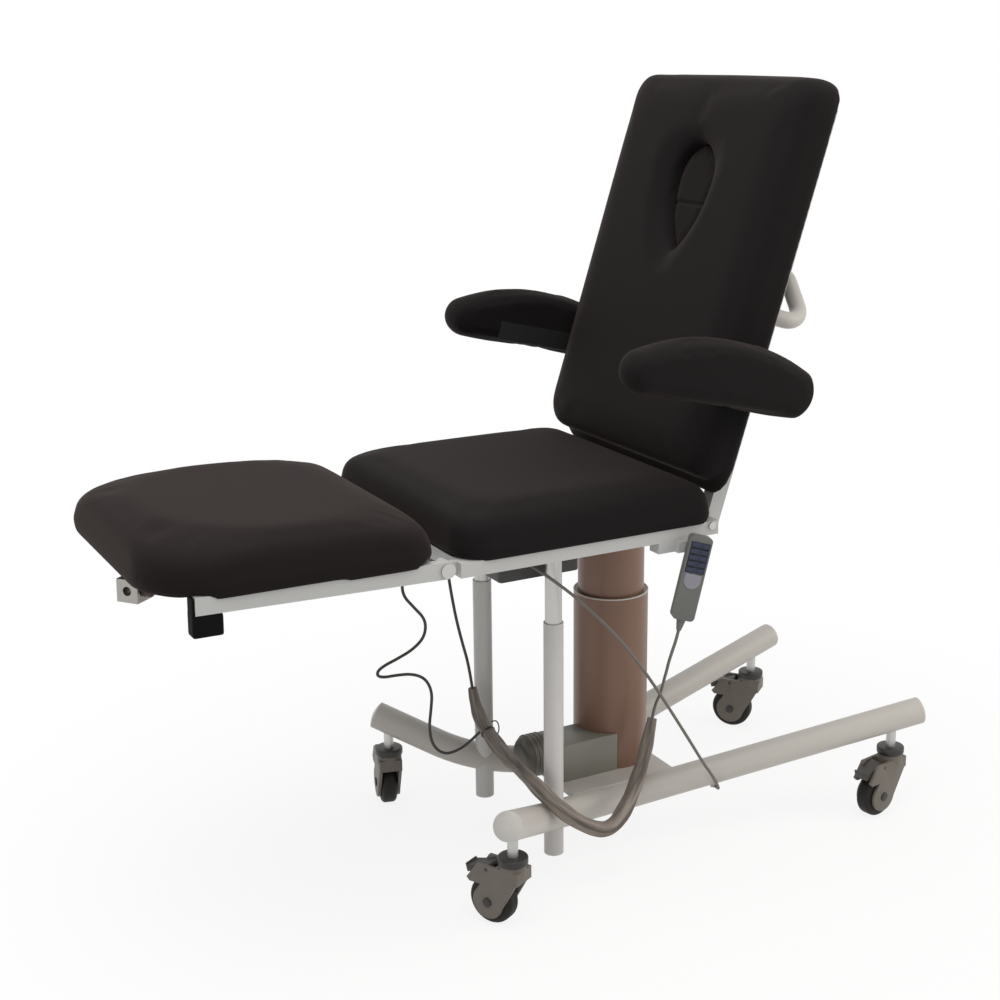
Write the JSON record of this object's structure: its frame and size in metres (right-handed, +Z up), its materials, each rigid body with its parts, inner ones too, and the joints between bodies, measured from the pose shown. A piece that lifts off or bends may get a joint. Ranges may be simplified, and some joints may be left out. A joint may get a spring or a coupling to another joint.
{
  "type": "manipulation table",
  "caption": "Adjustable treatment table on a lifting column: leg rest, seat and leaning back with a face opening, armrests, and a bowed tube base on braked casters.",
  "frame": {"origin": "on the floor under the axis of the lifting column", "axes": "+X towards the head end, +Z up, -Y the side that carries the handset"},
  "size_m": [1.6185, 0.746, 1.5114],
  "materials": {
    "cream_paint": "satin powder coat",
    "column_paint": "satin bronze powder coat",
    "drive_paint": "matt grey paint",
    "motor_paint": "matt black paint",
    "bright_steel": "ground",
    "cap_plastic": "moulded",
    "caster_plastic": "moulded",
    "pedal_plastic": "moulded",
    "tyre_rubber": "moulded",
    "board_paint": "black-faced plywood",
    "upholstery": "fine woven, black",
    "black_rubber": "moulded",
    "clamp_metal": "grey",
    "knob_plastic": "moulded",
    "housing_plastic": "moulded",
    "handset_plastic": "moulded",
    "key_plastic": "moulded",
    "sleeve_cloth": "taped sleeve",
    "lead_rubber": "extruded"
  },
  "bodies": {
    "base": {"base_tube_left": "cream_paint", "base_tube_right": "cream_paint", "base_tube_end_caps": "cap_plastic", "column_foot_plate": "cream_paint", "guide_tubes": "cream_paint", "column_outer_tube": "column_paint", "lift_actuator_tube": "drive_paint", "lift_gearbox": "drive_paint", "lift_motor": "motor_paint", "caster_stems": "bright_steel", "cable_sleeve": "sleeve_cloth", "leg_actuator_lead": "lead_rubber", "back_actuator_lead": "lead_rubber", "handset_lead": "lead_rubber", "earth_lead": "lead_rubber"},
    "lift": {"column_inner_tube": "bright_steel", "lift_push_rod": "bright_steel", "guide_rods": "bright_steel", "seat_frame": "cream_paint", "hinge_pins": "bright_steel", "seat_board": "board_paint", "seat_cushion": "upholstery", "control_box": "housing_plastic", "leg_actuator": "housing_plastic", "back_actuator": "housing_plastic", "handset_shell": "handset_plastic"},
    "leg_section": {"leg_frame": "cream_paint", "leg_board": "board_paint", "leg_cushion": "upholstery", "leg_bumpers": "black_rubber", "foot_clamp": "clamp_metal"},
    "back_section": {"back_frame": "cream_paint", "push_bar": "cream_paint", "back_board": "board_paint", "back_cushion": "upholstery"},
    "face_filler": {"face_plug": "upholstery"},
    "leg_rod": {"leg_actuator_rod": "bright_steel"},
    "back_rod": {"back_actuator_rod": "bright_steel"},
    "knob": {"clamp_knob": "knob_plastic"},
    "arm_left": {"armrest_pad_left": "upholstery", "armrest_bracket_left": "motor_paint"},
    "fork_front_left": {"caster_front_left_fork": "caster_plastic"},
    "wheel_front_left": {"caster_front_left_wheel": "tyre_rubber"},
    "pedal_front_left": {"caster_front_left_brake_pedal": "pedal_plastic"},
    "fork_rear_left": {"caster_rear_left_fork": "caster_plastic"},
    "wheel_rear_left": {"caster_rear_left_wheel": "tyre_rubber"},
    "pedal_rear_left": {"caster_rear_left_brake_pedal": "pedal_plastic"},
    "arm_right": {"armrest_pad_right": "upholstery", "armrest_bracket_right": "motor_paint"},
    "fork_front_right": {"caster_front_right_fork": "caster_plastic"},
    "wheel_front_right": {"caster_front_right_wheel": "tyre_rubber"},
    "pedal_front_right": {"caster_front_right_brake_pedal": "pedal_plastic"},
    "fork_rear_right": {"caster_rear_right_fork": "caster_plastic"},
    "wheel_rear_right": {"caster_rear_right_wheel": "tyre_rubber"},
    "pedal_rear_right": {"caster_rear_right_brake_pedal": "pedal_plastic"},
    "key_1": {"handset_key_1": "key_plastic"},
    "key_2": {"handset_key_2": "key_plastic"},
    "key_3": {"handset_key_3": "key_plastic"},
    "key_4": {"handset_key_4": "key_plastic"},
    "key_5": {"handset_key_5": "key_plastic"}
  },
  "joints": [
    {"name": "lift", "type": "slide", "parent": "base", "child": "lift", "axis": [0, 0, 1], "range_m": [-0.14, 0.1], "deforming": ["leg_actuator_lead", "back_actuator_lead", "handset_lead", "earth_lead"]},
    {"name": "leg_tilt", "type": "hinge", "parent": "lift", "child": "leg_section", "pos_m": [-0.499, 0, 0.71], "axis": [0, 1, 0], "range_deg": [-78, 4]},
    {"name": "back_tilt", "type": "hinge", "parent": "lift", "child": "back_section", "pos_m": [0.041, 0, 0.71], "axis": [0, 1, 0], "range_deg": [-2, 72]},
    {"name": "leg_rod_slide", "type": "slide", "parent": "lift", "child": "leg_rod", "axis": [1, 0, 0], "range_m": [-0.005, 0.078]},
    {"name": "back_rod_slide", "type": "slide", "parent": "lift", "child": "back_rod", "axis": [1, 0, 0], "range_m": [-0.0735, 0.003]},
    {"name": "face_plug_lift", "type": "slide", "parent": "back_section", "child": "face_filler", "axis": [-0.9511, 0, 0.309], "range_m": [0, 0.06]},
    {"name": "knob_turn", "type": "hinge", "parent": "leg_section", "child": "knob", "pos_m": [-0.95188, -0.06032, 0.68785], "axis": [-0.6426, 0.766, 0.0168], "range_deg": [0, 360]},
    {"name": "arm_left_swing", "type": "hinge", "parent": "back_section", "child": "arm_left", "pos_m": [0.14612, -0.245, 0.94292], "axis": [0, 1, 0], "range_deg": [-15, 75]},
    {"name": "swivel_front_left", "type": "hinge", "parent": "base", "child": "fork_front_left", "pos_m": [-0.37527, -0.27518, 0.141], "axis": [0, 0, 1], "continuous": true},
    {"name": "roll_front_left", "type": "hinge", "parent": "fork_front_left", "child": "wheel_front_left", "pos_m": [-0.39498, -0.23809, 0.046], "axis": [-0.8829, -0.4695, 0], "continuous": true},
    {"name": "brake_front_left", "type": "hinge", "parent": "fork_front_left", "child": "pedal_front_left", "pos_m": [-0.39592, -0.23633, 0.112], "axis": [-0.8829, -0.4695, 0], "range_deg": [0, 12]},
    {"name": "swivel_rear_left", "type": "hinge", "parent": "base", "child": "fork_rear_left", "pos_m": [0.54315, -0.24699, 0.141], "axis": [0, 0, 1], "continuous": true},
    {"name": "roll_rear_left", "type": "hinge", "parent": "fork_rear_left", "child": "wheel_rear_left", "pos_m": [0.50178, -0.25429, 0.046], "axis": [0.1736, -0.9848, 0], "continuous": true},
    {"name": "brake_rear_left", "type": "hinge", "parent": "fork_rear_left", "child": "pedal_rear_left", "pos_m": [0.49982, -0.25463, 0.112], "axis": [0.1736, -0.9848, 0], "range_deg": [0, 12]},
    {"name": "arm_right_swing", "type": "hinge", "parent": "back_section", "child": "arm_right", "pos_m": [0.14612, 0.245, 0.94292], "axis": [0, 1, 0], "range_deg": [-15, 75]},
    {"name": "swivel_front_right", "type": "hinge", "parent": "base", "child": "fork_front_right", "pos_m": [-0.37527, 0.27518, 0.141], "axis": [0, 0, 1], "continuous": true},
    {"name": "roll_front_right", "type": "hinge", "parent": "fork_front_right", "child": "wheel_front_right", "pos_m": [-0.3644, 0.31574, 0.046], "axis": [-0.9659, 0.2588, 0], "continuous": true},
    {"name": "brake_front_right", "type": "hinge", "parent": "fork_front_right", "child": "pedal_front_right", "pos_m": [-0.36388, 0.31768, 0.112], "axis": [-0.9659, 0.2588, 0], "range_deg": [0, 12]},
    {"name": "swivel_rear_right", "type": "hinge", "parent": "base", "child": "fork_rear_right", "pos_m": [0.54315, 0.24699, 0.141], "axis": [0, 0, 1], "continuous": true},
    {"name": "roll_rear_right", "type": "hinge", "parent": "fork_rear_right", "child": "wheel_rear_right", "pos_m": [0.51729, 0.28009, 0.046], "axis": [-0.788, -0.6157, 0], "continuous": true},
    {"name": "brake_rear_right", "type": "hinge", "parent": "fork_rear_right", "child": "pedal_rear_right", "pos_m": [0.51606, 0.28166, 0.112], "axis": [-0.788, -0.6157, 0], "range_deg": [0, 12]},
    {"name": "key_1_rock", "type": "hinge", "parent": "lift", "child": "key_1", "pos_m": [-0.01222, -0.32645, 0.69037], "axis": [0.2588, 0, 0.9659], "range_deg": [-4, 4], "stiffness_Nm_per_rad": 0.05},
    {"name": "key_2_rock", "type": "hinge", "parent": "lift", "child": "key_2", "pos_m": [-0.01522, -0.32645, 0.67917], "axis": [0.2588, 0, 0.9659], "range_deg": [-4, 4], "stiffness_Nm_per_rad": 0.05},
    {"name": "key_3_rock", "type": "hinge", "parent": "lift", "child": "key_3", "pos_m": [-0.01822, -0.32645, 0.66796], "axis": [0.2588, 0, 0.9659], "range_deg": [-4, 4], "stiffness_Nm_per_rad": 0.05},
    {"name": "key_4_rock", "type": "hinge", "parent": "lift", "child": "key_4", "pos_m": [-0.02123, -0.32645, 0.65676], "axis": [0.2588, 0, 0.9659], "range_deg": [-4, 4], "stiffness_Nm_per_rad": 0.05},
    {"name": "key_5_rock", "type": "hinge", "parent": "lift", "child": "key_5", "pos_m": [-0.02423, -0.32645, 0.64555], "axis": [0.2588, 0, 0.9659], "range_deg": [-4, 4], "stiffness_Nm_per_rad": 0.05}
  ],
  "couplings": [
    {"joint": "leg_rod_slide", "follows": "leg_tilt", "m_per_rad": -0.05628},
    {"joint": "back_rod_slide", "follows": "back_tilt", "m_per_rad": -0.05685}
  ]
}
